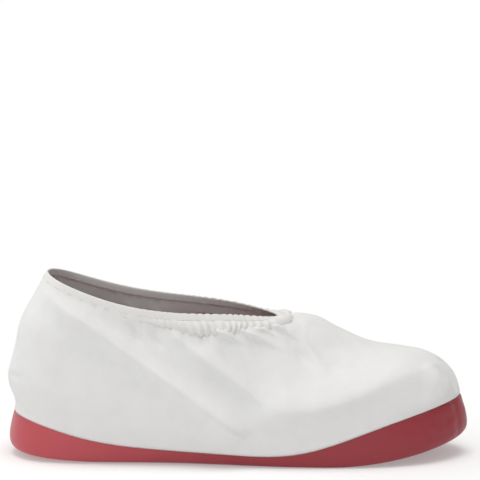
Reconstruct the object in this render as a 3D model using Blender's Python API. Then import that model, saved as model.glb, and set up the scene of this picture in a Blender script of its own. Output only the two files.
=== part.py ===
"""An overshoe: a white fabric upper on a dished red rubber sole, with a gathered elastic hem.

Metres, +Z up. The toe points along +X and the ankle opening faces up. The origin is on the floor,
under the middle of the length and the width.
"""

import math

import bpy
import numpy as np
from mathutils import Vector
from mathutils.geometry import delaunay_2d_cdt

# Overall sizes
LENGTH = 0.325
WIDTH = 0.106
OPENING_HEIGHT = 0.131
RIM_HEIGHT = 0.0424

# Sole
TOE_SPRING = 0.0157
TOE_SPRING_RUN = 0.0975
TOE_SPRING_CURVE = 1.77
HEEL_RISE = 0.0050
HEEL_RISE_RUN = 0.0600
HEEL_RISE_CURVE = 1.3
SOLE_FLOOR = 0.0032
SOLE_WALL = 0.0020
RIM_WALL = 0.0012
CORNER_FULLNESS_SHARE = 0.75
WALL_THINS_SHARE = 0.5
FLOOR_CLIMB_SHARE = 0.42

# Tread
PAD_LENGTH = 0.0124
PAD_WIDTH = 0.0066
GROOVE_WIDTH = 0.0017
GROOVE_DEPTH = 0.0010
TREAD_BORDER = 0.0035

# Fabric
FABRIC_WALL = 0.0012
TUCK_CLIMB_SHARE = 0.75
RIM_SWELL_SHARE = 0.09
FOLDS_BEGIN_SHARES = (0.04, 0.16)
FOLDS_END_SHARES = (0.80, 0.90)
FOLD_HEIGHT = 0.0030
PIECE_GAP = 0.0003

# Elastic hem
CASING_HEIGHT = 0.0055
CASING_WALL = 0.0028
CASING_PROUD = 0.0008
ROLL_HEIGHT = 0.0068
ROLL_WALL = 0.0036
SKIRT_HEIGHT = 0.0030
SKIRT_WALL = 0.0013
GATHER_PITCH = 0.0055
GATHER_DEPTH = 0.0009
RUFFLE_START_SHARE = 0.50
RUFFLE_FULL_SHARE = 0.58

# Mesh fineness
UPPER_ROWS = 10
CREASE_ANGLE = math.radians(40)

# The stations of each line below, as shares of the half loop from the heel to the toe:
# heel, heel corner, heel side, waist, ball back, ball front, toe side, toe corner, toe
STATIONS = (0.0, 0.097, 0.212, 0.378, 0.533, 0.680, 0.812, 0.915, 1.0)

# Sole, edge of the flat tread. Columns: along, share of half the length; out, share of half the width
TREAD_EDGE = (
    (-0.948, 0.000),
    (-0.880, 0.430),
    (-0.690, 0.570),
    (-0.357, 0.600),
    (-0.062, 0.700),
    (0.277, 0.883),
    (0.590, 0.865),
    (0.826, 0.575),
    (0.950, 0.000),
)

# Sole, corner that its side bends round. Columns: along and out as above; up, share of the rim's height
SOLE_CORNER = (
    (-1.022, 0.000, 0.100),
    (-0.937, 0.550, 0.070),
    (-0.702, 0.750, 0.030),
    (-0.357, 0.755, 0.010),
    (-0.049, 0.855, 0.000),
    (0.283, 0.985, 0.010),
    (0.612, 0.975, 0.083),
    (0.885, 0.665, 0.250),
    (1.028, 0.000, 0.370),
)

# Sole, top edge of its rim, with the same columns
RIM_LINE = (
    (-0.976, 0.000, 0.722),
    (-0.905, 0.509, 0.679),
    (-0.689, 0.755, 0.455),
    (-0.357, 0.821, 0.274),
    (-0.037, 0.934, 0.212),
    (0.283, 1.000, 0.259),
    (0.603, 0.925, 0.649),
    (0.849, 0.613, 0.915),
    (0.966, 0.000, 1.000),
)

# Upper, the edge of its opening. Columns: along and out as above; up, share of the opening's height
OPENING_LINE = (
    (-0.827, 0.000, 1.000),
    (-0.782, 0.396, 0.979),
    (-0.652, 0.604, 0.920),
    (-0.443, 0.689, 0.850),
    (-0.234, 0.657, 0.817),
    (-0.052, 0.528, 0.802),
    (0.070, 0.387, 0.783),
    (0.145, 0.217, 0.765),
    (0.172, 0.000, 0.757),
)

# Upper, the lines between its rim and its opening, from the lowest to the highest.
# Columns: along and out as above; up, share of the way from the rim's height to the opening's
BELLY_LINE = (
    (-0.974, 0.000, 0.100),
    (-0.908, 0.519, 0.103),
    (-0.689, 0.792, 0.135),
    (-0.357, 0.915, 0.155),
    (-0.049, 0.991, 0.153),
    (0.271, 1.000, 0.160),
    (0.597, 0.930, 0.138),
    (0.849, 0.613, 0.122),
    (0.960, 0.000, 0.129),
)
SHOULDER_LINE = (
    (-0.999, 0.000, 0.253),
    (-0.923, 0.538, 0.263),
    (-0.695, 0.802, 0.303),
    (-0.369, 0.925, 0.315),
    (-0.074, 0.981, 0.311),
    (0.234, 0.972, 0.330),
    (0.554, 0.868, 0.350),
    (0.806, 0.528, 0.375),
    (0.908, 0.000, 0.382),
)
LOW_CROWN_LINE = (
    (-0.972, 0.000, 0.452),
    (-0.905, 0.519, 0.464),
    (-0.695, 0.764, 0.501),
    (-0.388, 0.877, 0.505),
    (-0.117, 0.896, 0.490),
    (0.160, 0.830, 0.500),
    (0.431, 0.698, 0.495),
    (0.677, 0.415, 0.541),
    (0.775, 0.000, 0.577),
)
HIGH_CROWN_LINE = (
    (-0.946, 0.000, 0.651),
    (-0.880, 0.491, 0.665),
    (-0.686, 0.708, 0.679),
    (-0.406, 0.808, 0.686),
    (-0.157, 0.802, 0.684),
    (0.086, 0.708, 0.681),
    (0.314, 0.557, 0.640),
    (0.511, 0.321, 0.636),
    (0.591, 0.000, 0.645),
)
COLLAR_LINE = (
    (-0.883, 0.000, 0.841),
    (-0.831, 0.443, 0.846),
    (-0.674, 0.651, 0.847),
    (-0.425, 0.742, 0.852),
    (-0.194, 0.721, 0.857),
    (0.018, 0.604, 0.862),
    (0.191, 0.453, 0.844),
    (0.322, 0.255, 0.885),
    (0.378, 0.000, 0.905),
)
WALL_LINES = (BELLY_LINE, SHOULDER_LINE, LOW_CROWN_LINE, HIGH_CROWN_LINE, COLLAR_LINE)

# The upper's main folds, seen from the side. Columns: along and up where the fold starts and ends,
# shares of half the length and of the opening's height; sag, share of the fold's own run;
# half width, share of the length; height, share of the fold height, less than zero for a valley;
# side, -1 for the near side and 1 for the far side
FOLDS = (
    (-0.590, 0.790, 0.030, 0.215, -0.030, 0.020, 1.00, -1),
    (-0.150, 0.620, 0.190, 0.350, -0.020, 0.022, 0.90, -1),
    (-0.120, 0.710, 0.110, 0.630, 0.020, 0.010, 0.60, -1),
    (0.040, 0.710, 0.205, 0.610, 0.020, 0.010, 0.70, -1),
    (0.175, 0.710, 0.300, 0.625, 0.020, 0.009, 0.60, -1),
    (0.275, 0.610, 0.325, 0.515, 0.000, 0.012, -0.70, -1),
    (0.020, 0.320, 0.105, 0.220, 0.000, 0.016, -0.80, -1),
    (-0.825, 0.925, -0.560, 0.765, 0.020, 0.012, 0.50, -1),
    (-0.540, 0.800, -0.080, 0.240, -0.040, 0.020, 0.90, 1),
    (-0.200, 0.660, 0.160, 0.330, -0.020, 0.022, 0.90, 1),
    (-0.060, 0.700, 0.150, 0.610, 0.020, 0.011, 0.60, 1),
    (0.110, 0.710, 0.260, 0.600, 0.020, 0.010, 0.60, 1),
    (-0.780, 0.900, -0.520, 0.760, 0.020, 0.012, 0.50, 1),
)


def spline_bends(knots, period=None):
    """The matrix that turns a smooth curve's values at the knots into its second derivatives there.

    With a period the curve is closed and its last knot is one step before the first again.
    Without one its ends are straight.
    """
    count = len(knots)
    steps = np.diff(np.append(knots, knots[0] + period) if period else knots)
    system = np.eye(count)
    pull = np.zeros((count, count))
    rows = range(count) if period else range(1, count - 1)
    for row in rows:
        before, after = (row - 1) % count, (row + 1) % count
        left, right = steps[row - 1], steps[row]
        system[row, before] = left
        system[row, row] = 2 * (left + right)
        system[row, after] = right
        pull[row, before] = 6 / left
        pull[row, row] = -6 / left - 6 / right
        pull[row, after] = 6 / right
    return np.linalg.solve(system, pull)


def read_spline(knots, values, bends, at, period=None):
    """Points of a smooth curve at each place in at. values and bends have a row for each knot.

    With a third dimension, each place reads a curve of its own.
    """
    if period:
        at = (at - knots[0]) % period + knots[0]
        knots = np.append(knots, knots[0] + period)
        values = np.concatenate([values, values[:1]])
        bends = np.concatenate([bends, bends[:1]])
    cell = np.clip(np.searchsorted(knots, at, side="right") - 1, 0, len(knots) - 2)
    step = (knots[cell + 1] - knots[cell])[:, None]
    ahead = (at - knots[cell])[:, None] / step
    behind = 1 - ahead
    low, high = (cell, np.arange(len(at))), (cell + 1, np.arange(len(at)))
    if values.ndim == 2:
        low, high = cell, cell + 1
    curve = (behind**3 - behind) * bends[low] + (ahead**3 - ahead) * bends[high]
    return behind * values[low] + ahead * values[high] + curve * step**2 / 6


HALF_KNOTS = np.array(STATIONS)
LOOP_KNOTS = np.concatenate([-HALF_KNOTS[-2:0:-1], HALF_KNOTS])
LOOP_BENDS = spline_bends(LOOP_KNOTS, period=2.0)


def floor_height(along):
    """Height of the sole's underside: it rises towards the toe and a little at the heel."""
    toe = np.clip((along - (LENGTH / 2 - TOE_SPRING_RUN)) / TOE_SPRING_RUN, 0, None)
    heel = np.clip((-along - (LENGTH / 2 - HEEL_RISE_RUN)) / HEEL_RISE_RUN, 0, None)
    return TOE_SPRING * toe**TOE_SPRING_CURVE + HEEL_RISE * heel**HEEL_RISE_CURVE


def loop_line(table, round_at):
    """Points of a line round the shoe. round_at runs from 0 at the heel to 1 at the toe on the
    near side, where Y is negative, and from 0 to -1 on the far side."""
    half = np.array(table)
    mirrored = half[-2:0:-1] * np.array([1, -1, 1][: half.shape[1]])
    loop = np.concatenate([mirrored, half])
    points = read_spline(LOOP_KNOTS, loop, LOOP_BENDS @ loop, round_at, period=2.0)
    along = points[..., 0] * LENGTH / 2
    out = -points[..., 1] * WIDTH / 2
    up = points[..., 2] if half.shape[1] == 3 else np.zeros_like(along)
    return np.stack([along, out, up], axis=-1)


def tread_edge(round_at):
    line = loop_line(TREAD_EDGE, round_at)
    line[..., 2] = floor_height(line[..., 0])
    return line


def sole_side(round_at, climb):
    """Outer side of the sole, from the tread's edge at climb 0 to the rim's top edge at climb 1."""
    foot = tread_edge(round_at)
    corner = loop_line(SOLE_CORNER, round_at) * (1, 1, RIM_HEIGHT)
    top = loop_line(RIM_LINE, round_at) * (1, 1, RIM_HEIGHT)
    low = foot + (corner - foot) * CORNER_FULLNESS_SHARE
    high = top + (corner - top) * CORNER_FULLNESS_SHARE
    t = np.asarray(climb)[..., None]
    return (1 - t) ** 3 * foot + 3 * t * (1 - t) ** 2 * low + 3 * t**2 * (1 - t) * high + t**3 * top


WALL_KNOTS = np.linspace(0, 1, len(WALL_LINES) + 2)
WALL_BENDS = spline_bends(WALL_KNOTS)


def wall_surface(round_at, climb):
    """Smooth outer form of the upper, from the sole's rim at climb 0 to the opening at climb 1."""
    rim = loop_line(RIM_LINE, round_at) * (1, 1, RIM_HEIGHT)
    opening = loop_line(OPENING_LINE, round_at) * (1, 1, OPENING_HEIGHT)
    lines = [rim]
    for table in WALL_LINES:
        line = loop_line(table, round_at)
        line[..., 2] = rim[..., 2] + line[..., 2] * (opening[..., 2] - rim[..., 2])
        lines.append(line)
    lines.append(opening)
    stack = np.array(lines)
    bends = np.tensordot(WALL_BENDS, stack, axes=1)
    return read_spline(WALL_KNOTS, stack, bends, climb)


def outward(surface, round_at, climb, reach=0.002):
    """Unit normals of a surface, pointing away from the foot."""
    round_step = surface(round_at + reach, climb) - surface(round_at - reach, climb)
    climb_step = surface(round_at, climb + reach) - surface(round_at, climb - reach)
    normal = np.cross(round_step, climb_step)
    return normal / np.linalg.norm(normal, axis=-1, keepdims=True)


def level(normals):
    """Normals turned into the horizontal, so that an upright wall keeps its thickness."""
    flat = normals * (1, 1, 0)
    return flat / np.linalg.norm(flat, axis=-1, keepdims=True)


def smooth_step(value, start, end):
    share = np.clip((value - start) / (end - start), 0, 1)
    return share * share * (3 - 2 * share)


def fold_swell(points, climb):
    """How far the fabric stands out in its folds at points of its smooth form."""
    swell = np.zeros(points.shape[:-1])
    sizes = np.array((LENGTH / 2, OPENING_HEIGHT))
    for along_0, up_0, along_1, up_1, sag, half_width, height, side in FOLDS:
        start = np.array((along_0, up_0)) * sizes
        run = np.array((along_1, up_1)) * sizes - start
        length = np.linalg.norm(run)
        seen = points[..., [0, 2]] - start
        ahead = seen @ run / length**2
        beside = seen @ np.array((-run[1], run[0])) / length - sag * length * (1 - (2 * ahead - 1) ** 2)
        taper = smooth_step(ahead, -0.1, 0.25) * (1 - smooth_step(ahead, 0.7, 1.1))
        ridge = np.exp(-((beside / (half_width * LENGTH)) ** 2))
        facing = smooth_step(side * points[..., 1], 0.0, WIDTH / 10)
        swell += height * FOLD_HEIGHT * ridge * taper * facing
    return swell * smooth_step(climb, *FOLDS_BEGIN_SHARES) * (1 - smooth_step(climb, *FOLDS_END_SHARES))


def upper_face(round_at, climb):
    """Outer face of the upper: it leaves the inside of the sole's rim and swells over it."""
    points = wall_surface(round_at, climb)
    inset = (RIM_WALL + PIECE_GAP) * (1 - smooth_step(climb, 0.0, RIM_SWELL_SHARE))
    move = fold_swell(points, climb) - inset
    return points + outward(wall_surface, round_at, climb) * move[..., None]


def sole_wall(climb):
    """Thickness of the sole's side, thinner towards its top edge."""
    return SOLE_WALL + (RIM_WALL - SOLE_WALL) * smooth_step(climb, WALL_THINS_SHARE, 1.0)


def inside_sole(round_at, climb, clearance):
    """Points a clearance in from the inner face of the sole's side."""
    depth = (sole_wall(climb) + clearance)[..., None]
    return sole_side(round_at, climb) - level(outward(sole_side, round_at, climb)) * depth


def climb_below(round_at, distance):
    """The climb at a distance below the opening's edge, measured along the upper's surface."""
    climbs = np.linspace(1, 0, 81)
    path = np.array([wall_surface(round_at, np.full(len(round_at), climb)) for climb in climbs])
    steps = np.linalg.norm(np.diff(path, axis=0), axis=-1)
    down = np.vstack([np.zeros(len(round_at)), np.cumsum(steps, axis=0)])
    distances = np.broadcast_to(distance, round_at.shape)
    return np.array([np.interp(distances[k], down[:, k], climbs) for k in range(len(round_at))])


def ring_faces(rows, columns, first, closed=False):
    """Faces between rows of points round the shoe; closed joins the last row to the first."""
    faces = []
    for row in range(rows if closed else rows - 1):
        low = first + row * columns
        high = first + (row + 1) % rows * columns
        for column in range(columns):
            after = (column + 1) % columns
            faces.append((low + column, low + after, high + after, high + column))
    return faces


def add_object(name, points, faces, material):
    mesh = bpy.data.meshes.new(name)
    mesh.from_pydata([tuple(point) for point in points], [], faces)
    mesh.materials.append(material)
    mesh.shade_smooth()
    mesh.set_sharp_from_angle(angle=CREASE_ANGLE)
    piece = bpy.data.objects.new(name, mesh)
    bpy.context.scene.collection.objects.link(piece)


def add_material(name, colour, roughness):
    material = bpy.data.materials.new(name)
    material.use_nodes = True
    surface = material.node_tree.nodes["Principled BSDF"]
    surface.inputs["Base Color"].default_value = (*colour, 1)
    surface.inputs["Roughness"].default_value = roughness
    surface.inputs["Metallic"].default_value = 0.0
    return material


def count_gathers():
    """How many gathers go round the opening, an even number so that one is at the toe."""
    edge = loop_line(OPENING_LINE, np.linspace(0, 2, 801)) * (1, 1, OPENING_HEIGHT)
    run = np.linalg.norm(np.diff(edge, axis=0), axis=1).sum()
    return 2 * round(run / GATHER_PITCH / 2)


def round_steps(count):
    """Places spread evenly round the shoe, from the heel along the near side."""
    return np.arange(count) * 2.0 / count


def inside_loop(points, loop):
    """Which plan points lie inside a closed plan loop."""
    x, y = points[..., 0, None], points[..., 1, None]
    x0, y0 = loop[:, 0], loop[:, 1]
    x1, y1 = np.roll(x0, -1), np.roll(y0, -1)
    spans = (y0 > y) != (y1 > y)
    rise = np.where(y1 == y0, 1, y1 - y0)
    crossing = x0 + (y - y0) * (x1 - x0) / rise
    return np.sum(spans & (x < crossing), axis=-1) % 2 == 1


def inset_loop(loop, distance):
    """A plan loop that runs anticlockwise, moved inwards."""
    run = np.roll(loop, -1, axis=0) - np.roll(loop, 1, axis=0)
    inwards = np.stack([-run[:, 1], run[:, 0]], axis=-1)
    return loop + inwards / np.linalg.norm(inwards, axis=-1, keepdims=True) * distance


def pad_cells(loop):
    """Rows and columns of the diamond cells that lie whole inside the tread's border."""
    border = inset_loop(loop, TREAD_BORDER)
    rows = math.ceil(LENGTH / PAD_LENGTH)
    columns = math.ceil(WIDTH / PAD_WIDTH)
    cells = set()
    for row in range(-rows, rows + 1):
        for column in range(-columns, columns + 1):
            corners = np.array(cell_corners(row, column)) * (PAD_LENGTH / 2, PAD_WIDTH / 2)
            if (row + column) % 2 == 0 and inside_loop(corners, border).all():
                cells.add((row, column))
    return cells


def cell_corners(row, column):
    return ((row + 1, column), (row, column + 1), (row - 1, column), (row, column - 1))


def cell_at(point):
    """The diamond cell that a plan point lies in."""
    row, column = point[0] / (PAD_LENGTH / 2), point[1] / (PAD_WIDTH / 2)
    turned = round((row + column) / 2), round((row - column) / 2)
    return turned[0] + turned[1], turned[0] - turned[1]


def make_tread(loop):
    """Plan points, rise over the underside and faces of the pads, the grooves between them
    and the smooth border out to the tread's edge, whose points come first."""
    half = np.array((PAD_LENGTH / 2, PAD_WIDTH / 2))
    shrink = 1 - GROOVE_WIDTH / 2 * np.linalg.norm(half) / half.prod()
    cells = pad_cells(loop)
    plan = [tuple(point) for point in loop]
    rises = [0.0] * len(plan)
    corner_names, faces, edge_uses = {}, [], {}
    for cell in sorted(cells):
        for corner in cell_corners(*cell):
            if corner not in corner_names:
                corner_names[corner] = len(plan)
                plan.append(tuple(np.array(corner) * half))
                rises.append(GROOVE_DEPTH)
    for cell in sorted(cells):
        ring = [corner_names[corner] for corner in cell_corners(*cell)]
        middle = np.array(cell) * half
        first = len(plan)
        for name in ring:
            plan.append(tuple(middle + (np.array(plan[name]) - middle) * shrink))
            rises.append(0.0)
        faces.append((first + 3, first + 2, first + 1, first))
        for k in range(4):
            after = (k + 1) % 4
            faces.append((ring[k], first + k, first + after, ring[after]))
            edge = tuple(sorted((ring[k], ring[after])))
            edge_uses[edge] = edge_uses.get(edge, 0) + 1
    outline = [edge for edge, uses in edge_uses.items() if uses == 1]
    faces += border_faces(plan, outline, cells, loop)
    return plan, rises, faces


def border_faces(plan, outline, cells, loop):
    """Faces between the stepped outline of the pads and the tread's edge."""
    count = len(loop)
    used = list(range(count)) + sorted({name for edge in outline for name in edge})
    place = {name: k for k, name in enumerate(used)}
    edges = [(k, (k + 1) % count) for k in range(count)]
    edges += [(place[a], place[b]) for a, b in outline]
    filled = delaunay_2d_cdt([Vector(plan[name]) for name in used], edges, [], 1, 1e-9)
    spots, triangles, sources = filled[0], filled[2], filled[3]
    faces = []
    for triangle in triangles:
        middle = np.mean([spots[k] for k in triangle], axis=0)
        if cell_at(middle) not in cells and inside_loop(middle, loop):
            faces.append(tuple(used[sources[k][0]] for k in reversed(triangle)))
    return faces


def make_sole(material):
    count = count_gathers()
    places = round_steps(count)
    edge = tread_edge(places)
    plan, rises, faces = make_tread(edge[:, :2])
    plan = np.array(plan)
    tread = np.column_stack([plan, floor_height(plan[:, 0]) + rises])

    rows = []
    for climb in (0.25, 0.5, TUCK_CLIMB_SHARE, 1.0):
        rows.append(sole_side(places, np.full(count, climb)))
    for climb in (1.0, TUCK_CLIMB_SHARE, FLOOR_CLIMB_SHARE):
        rows.append(inside_sole(places, np.full(count, climb), 0.0))
    rows[-1][:, 2] = floor_height(rows[-1][:, 0]) + SOLE_FLOOR

    first = len(tread)
    points = np.concatenate([tread, *rows])
    for column in range(count):
        after = (column + 1) % count
        faces.append((column, after, first + after, first + column))
    faces += ring_faces(len(rows), count, first)
    last = len(points) - count
    for column in range(count // 2):
        near = last + column, last + column + 1
        far = last + count - column - 1, last + (count - column) % count
        faces.append(tuple(dict.fromkeys((*near, *far))))
    add_object("sole", points, faces, material)


def make_upper(material):
    count = count_gathers()
    places = round_steps(count)
    outer = []
    normals = []
    for climb in (TUCK_CLIMB_SHARE, 1.0):
        climbs = np.full(count, climb)
        outer.append(inside_sole(places, climbs, PIECE_GAP))
        normals.append(level(outward(sole_side, places, climbs)))
    hem_foot = climb_below(places, CASING_HEIGHT + hem_drop(places) + PIECE_GAP)
    climbs = [hem_foot * share for share in np.linspace(0, 1, UPPER_ROWS)[1:]]
    climbs.append(climb_below(places, CASING_HEIGHT + PIECE_GAP))
    for climb in climbs:
        outer.append(upper_face(places, climb))
        normals.append(outward(wall_surface, places, climb))
    inner = [row - normal * FABRIC_WALL for row, normal in zip(outer, normals)]
    rows = outer + inner[::-1]
    add_object("upper", np.concatenate(rows), ring_faces(len(rows), count, 0, closed=True), material)


def ruffle_share(places):
    """How far the hem is a ruffled roll: 0 round the heel and 1 round the throat."""
    return smooth_step(1 - np.abs(1 - places), RUFFLE_START_SHARE, RUFFLE_FULL_SHARE)


def hem_drop(places):
    """How far the gathers hang below the hem's casing."""
    return SKIRT_HEIGHT + (ROLL_HEIGHT - SKIRT_HEIGHT) * ruffle_share(places)


def hem_section(places, gather):
    """Corners of the hem's section, from the casing's inner foot round its outside to its top.

    Columns: distance below the opening's edge and distance out from the upper's outer face.
    gather runs from -1 in a valley to 1 on a crest.
    """
    ruffle = ruffle_share(places)
    drop = hem_drop(places)
    out = SKIRT_WALL + (ROLL_WALL - SKIRT_WALL) * ruffle + GATHER_DEPTH * gather * (0.35 + 0.65 * ruffle)
    inner = CASING_PROUD - CASING_WALL
    return (
        (CASING_HEIGHT, inner),
        (CASING_HEIGHT, PIECE_GAP),
        (CASING_HEIGHT + drop, PIECE_GAP),
        (CASING_HEIGHT + drop * 0.60, PIECE_GAP + out),
        (CASING_HEIGHT - PIECE_GAP, CASING_PROUD * 0.6),
        (0.0, CASING_PROUD),
        (0.0, inner),
    )


def make_elastic_hem(material):
    count = 2 * count_gathers()
    places = round_steps(count)
    gather = np.where(np.arange(count) % 2, 1.0, -1.0)
    rows = []
    for distance, out in hem_section(places, gather):
        climb = climb_below(places, distance)
        normal = outward(wall_surface, places, climb)
        rows.append(wall_surface(places, climb) + normal * np.broadcast_to(out, places.shape)[:, None])
    faces = ring_faces(len(rows), len(places), 0, closed=True)
    add_object("elastic_hem", np.concatenate(rows), faces, material)


def main():
    for leftover in list(bpy.data.objects):
        bpy.data.objects.remove(leftover, do_unlink=True)
    rubber = add_material("red rubber", (0.36, 0.035, 0.05), 0.42)
    fabric = add_material("white fabric", (0.80, 0.79, 0.77), 0.85)
    make_sole(rubber)
    make_upper(fabric)
    make_elastic_hem(fabric)


main()
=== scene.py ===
"""Looks of the overshoe: nonwoven upper with its folds, gathered hem with stitching, red rubber sole.

Metres, +Z up, toe along +X. The lines that shape the sole and the upper are those of the part's
source. The walls are thinner here, as the real ones are, and the folds and the hem are finer.
"""
import math

import bpy
import numpy as np
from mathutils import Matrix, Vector
from mathutils.geometry import delaunay_2d_cdt


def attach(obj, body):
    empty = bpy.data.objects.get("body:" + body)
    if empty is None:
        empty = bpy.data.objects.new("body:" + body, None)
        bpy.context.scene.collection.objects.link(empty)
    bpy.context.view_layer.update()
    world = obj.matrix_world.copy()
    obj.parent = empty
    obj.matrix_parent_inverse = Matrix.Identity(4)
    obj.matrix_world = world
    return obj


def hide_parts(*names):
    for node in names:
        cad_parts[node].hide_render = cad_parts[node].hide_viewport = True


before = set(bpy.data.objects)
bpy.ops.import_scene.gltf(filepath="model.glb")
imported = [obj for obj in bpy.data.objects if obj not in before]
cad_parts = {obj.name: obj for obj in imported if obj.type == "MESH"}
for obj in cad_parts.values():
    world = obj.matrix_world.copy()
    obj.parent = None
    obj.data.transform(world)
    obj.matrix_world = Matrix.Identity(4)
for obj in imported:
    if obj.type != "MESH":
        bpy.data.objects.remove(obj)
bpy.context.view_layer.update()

# Sizes of the part in metres, and shares. A climb runs from 0 at a wall's foot to 1 at its top
LENGTH = 0.325
WIDTH = 0.106
OPENING_HEIGHT = 0.131
RIM_HEIGHT = 0.0424
TOE_SPRING = 0.0157
TOE_SPRING_RUN = 0.0975
TOE_SPRING_CURVE = 1.77
HEEL_RISE = 0.0050
HEEL_RISE_RUN = 0.0600
HEEL_RISE_CURVE = 1.3
SOLE_FLOOR = 0.0032
SOLE_WALL = 0.0020
RIM_WALL = 0.0006
WALL_THINS_CLIMB = 0.5
CORNER_FULLNESS = 0.75
FLOOR_CLIMB = 0.42
PAD_LENGTH = 0.0124
PAD_WIDTH = 0.0066
GROOVE_DEPTH = 0.0010
TREAD_BORDER = 0.0035
FABRIC_WALL = 0.0007
TUCK_CLIMB = 0.75
FOLD_HEIGHT = 0.0030
PIECE_GAP = 0.0002
CASING_HEIGHT = 0.0056
CASING_WALL = 0.0022
CASING_PROUD = 0.0005
GATHER_PITCH = 0.0050

# The stations of each line below, as shares of the half loop from the heel to the toe:
# heel, heel corner, heel side, waist, ball back, ball front, toe side, toe corner, toe
STATIONS = (0.0, 0.097, 0.212, 0.378, 0.533, 0.680, 0.812, 0.915, 1.0)

# Sole, edge of the flat tread. Columns: along, share of half the length; out, share of half the width
TREAD_EDGE = (
    (-0.948, 0.000),
    (-0.880, 0.430),
    (-0.690, 0.570),
    (-0.357, 0.600),
    (-0.062, 0.700),
    (0.277, 0.883),
    (0.590, 0.865),
    (0.826, 0.575),
    (0.950, 0.000),
)

# Sole, corner that its side bends round. Columns: along and out as above; up, share of the rim's height
SOLE_CORNER = (
    (-1.022, 0.000, 0.100),
    (-0.937, 0.550, 0.070),
    (-0.702, 0.750, 0.030),
    (-0.357, 0.755, 0.010),
    (-0.049, 0.855, 0.000),
    (0.283, 0.985, 0.010),
    (0.612, 0.975, 0.083),
    (0.885, 0.665, 0.250),
    (1.028, 0.000, 0.370),
)

# Sole, top edge of its rim, with the same columns
RIM_LINE = (
    (-0.976, 0.000, 0.722),
    (-0.905, 0.509, 0.679),
    (-0.689, 0.755, 0.455),
    (-0.357, 0.821, 0.274),
    (-0.037, 0.934, 0.212),
    (0.283, 1.000, 0.259),
    (0.603, 0.925, 0.649),
    (0.849, 0.613, 0.915),
    (0.966, 0.000, 1.000),
)

# Upper, the edge of its opening. Columns: along and out as above; up, share of the opening's height
OPENING_LINE = (
    (-0.827, 0.000, 1.000),
    (-0.782, 0.396, 0.979),
    (-0.652, 0.604, 0.920),
    (-0.443, 0.689, 0.850),
    (-0.234, 0.657, 0.817),
    (-0.052, 0.528, 0.802),
    (0.070, 0.387, 0.783),
    (0.145, 0.217, 0.765),
    (0.172, 0.000, 0.757),
)

# Upper, the lines between its rim and its opening, from the lowest to the highest.
# Columns: along and out as above; up, share of the way from the rim's height to the opening's
BELLY_LINE = (
    (-0.974, 0.000, 0.100),
    (-0.908, 0.519, 0.103),
    (-0.689, 0.792, 0.135),
    (-0.357, 0.915, 0.155),
    (-0.049, 0.991, 0.153),
    (0.271, 1.000, 0.160),
    (0.597, 0.930, 0.138),
    (0.849, 0.613, 0.122),
    (0.960, 0.000, 0.129),
)
SHOULDER_LINE = (
    (-0.999, 0.000, 0.253),
    (-0.923, 0.538, 0.263),
    (-0.695, 0.802, 0.303),
    (-0.369, 0.925, 0.315),
    (-0.074, 0.981, 0.311),
    (0.234, 0.972, 0.330),
    (0.554, 0.868, 0.350),
    (0.806, 0.528, 0.375),
    (0.908, 0.000, 0.382),
)
LOW_CROWN_LINE = (
    (-0.972, 0.000, 0.452),
    (-0.905, 0.519, 0.464),
    (-0.695, 0.764, 0.501),
    (-0.388, 0.877, 0.505),
    (-0.117, 0.896, 0.490),
    (0.160, 0.830, 0.500),
    (0.431, 0.698, 0.495),
    (0.677, 0.415, 0.541),
    (0.775, 0.000, 0.577),
)
HIGH_CROWN_LINE = (
    (-0.946, 0.000, 0.651),
    (-0.880, 0.491, 0.665),
    (-0.686, 0.708, 0.679),
    (-0.406, 0.808, 0.686),
    (-0.157, 0.802, 0.684),
    (0.086, 0.708, 0.681),
    (0.314, 0.557, 0.640),
    (0.511, 0.321, 0.636),
    (0.591, 0.000, 0.645),
)
COLLAR_LINE = (
    (-0.883, 0.000, 0.841),
    (-0.831, 0.443, 0.846),
    (-0.674, 0.651, 0.847),
    (-0.425, 0.742, 0.852),
    (-0.194, 0.721, 0.857),
    (0.018, 0.604, 0.862),
    (0.191, 0.453, 0.844),
    (0.322, 0.255, 0.885),
    (0.378, 0.000, 0.905),
)
WALL_LINES = (BELLY_LINE, SHOULDER_LINE, LOW_CROWN_LINE, HIGH_CROWN_LINE, COLLAR_LINE)

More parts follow.
